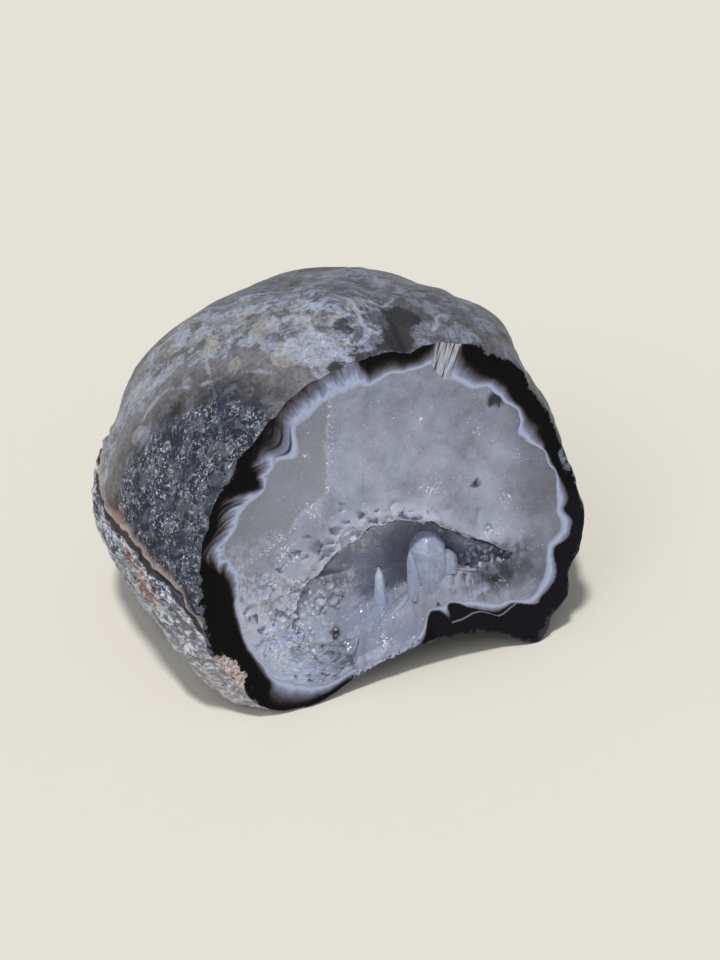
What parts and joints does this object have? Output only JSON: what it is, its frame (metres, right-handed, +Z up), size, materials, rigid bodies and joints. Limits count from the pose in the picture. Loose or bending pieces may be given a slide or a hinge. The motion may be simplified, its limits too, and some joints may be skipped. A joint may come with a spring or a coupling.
{
  "type": "geode half",
  "caption": "Sawn agate geode half, standing on its broken base, with a dark rim and a quartz hollow lined with crystals.",
  "frame": {"origin": "middle of the bounding box on the plane that the stone stands on", "axes": "+Z up, -Y towards the side that the sawn face looks to, +X to the right of the face"},
  "size_m": [0.0616, 0.0538, 0.0451],
  "materials": {
    "agate": "weathered grey chalcedony outside, near-black sawn rim with pale bands",
    "quartz": "milky bluish-grey quartz, sawn flat above the hollow, druse crystals inside it"
  },
  "bodies": {
    "root": {"agate_shell": "agate", "quartz_crust": "quartz"}
  },
  "joints": []
}
